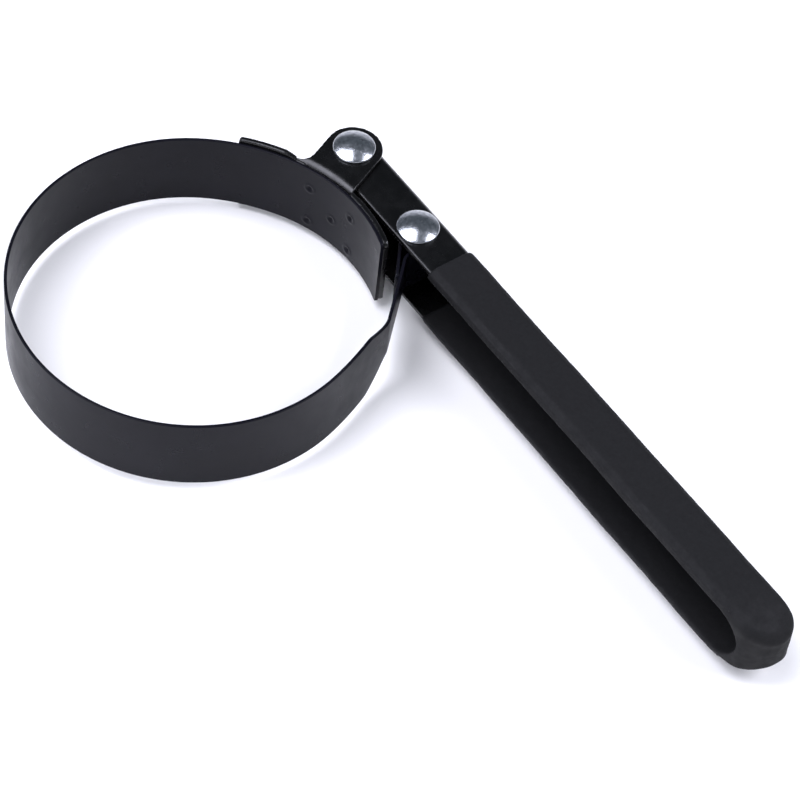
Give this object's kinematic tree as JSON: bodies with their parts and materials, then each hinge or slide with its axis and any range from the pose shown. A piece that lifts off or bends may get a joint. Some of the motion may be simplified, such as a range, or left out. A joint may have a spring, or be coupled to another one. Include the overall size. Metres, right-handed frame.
{
  "type": "oil filter wrench",
  "caption": "Steel band ring with a black dipped swivel handle, for gripping and turning a spin-on oil filter.",
  "frame": {"origin": "on the ring's axis at mid-height of the band", "axes": "+Z along the ring's axis, +X along the handle from the pivot towards the grip's tip, +Y from the ring towards the handle"},
  "size_m": [0.2224, 0.1213, 0.029],
  "materials": {
    "band_paint": "satin blue-black paint on spring steel",
    "bracket_paint": "semi-gloss black paint on pressed steel",
    "handle_paint": "semi-gloss black paint on folded steel",
    "grip_vinyl": "matt black dipped vinyl",
    "zinc": "bright zinc plate, finely mottled"
  },
  "bodies": {
    "head": {"saddle_bracket": "bracket_paint", "band_welded_end": "band_paint"},
    "handle": {"handle_channel": "handle_paint", "handle_grip": "grip_vinyl", "pivot_rivet": "zinc", "band_rivet": "zinc"},
    "band_1": {"band_length_1": "band_paint"},
    "band_2": {"band_length_2": "band_paint"},
    "band_3": {"band_length_3": "band_paint"},
    "band_4": {"band_length_4": "band_paint"},
    "band_5": {"band_length_5": "band_paint"},
    "band_6": {"band_length_6": "band_paint"},
    "tail": {"band_tail": "band_paint"}
  },
  "joints": [
    {"name": "handle_pivot", "type": "hinge", "parent": "head", "child": "handle", "pos_m": [-0.0156, 0.0633, 0], "axis": [0, 0, 1], "range_deg": [-4, 30]},
    {"name": "band_flex_1", "type": "hinge", "parent": "head", "child": "band_1", "pos_m": [-0.04291, 0.02477, 0], "axis": [0, 0, 1], "range_deg": [-1.08, 4.82]},
    {"name": "band_flex_2", "type": "hinge", "parent": "band_1", "child": "band_2", "pos_m": [-0.04936, -0.00432, 0], "axis": [0, 0, 1], "range_deg": [-1.08, 4.88]},
    {"name": "band_flex_3", "type": "hinge", "parent": "band_2", "child": "band_3", "pos_m": [-0.03796, -0.03185, 0], "axis": [0, 0, 1], "range_deg": [-0.9, 3.53]},
    {"name": "band_flex_4", "type": "hinge", "parent": "band_3", "child": "band_4", "pos_m": [-0.01282, -0.04786, 0], "axis": [0, 0, 1], "range_deg": [-0.59, 1.19]},
    {"name": "band_flex_5", "type": "hinge", "parent": "band_4", "child": "band_5", "pos_m": [0.01695, -0.04656, 0], "axis": [0, 0, 1], "range_deg": [-2.24, 0.73]},
    {"name": "band_flex_6", "type": "hinge", "parent": "band_5", "child": "band_6", "pos_m": [0.04059, -0.02842, 0], "axis": [0, 0, 1], "range_deg": [-3.92, 0.96]},
    {"name": "band_flex_7", "type": "hinge", "parent": "band_6", "child": "tail", "pos_m": [0.04955, 0, 0], "axis": [0, 0, 1], "range_deg": [-4.22, 1]}
  ],
  "couplings": [
    {"joint": "band_flex_1", "follows": "handle_pivot", "ratio": 0.144},
    {"joint": "band_flex_2", "follows": "handle_pivot", "ratio": 0.146},
    {"joint": "band_flex_3", "follows": "handle_pivot", "ratio": 0.101},
    {"joint": "band_flex_4", "follows": "handle_pivot", "ratio": 0.023},
    {"joint": "band_flex_5", "follows": "handle_pivot", "ratio": -0.058},
    {"joint": "band_flex_6", "follows": "handle_pivot", "ratio": -0.114},
    {"joint": "band_flex_7", "follows": "handle_pivot", "ratio": -0.124}
  ]
}
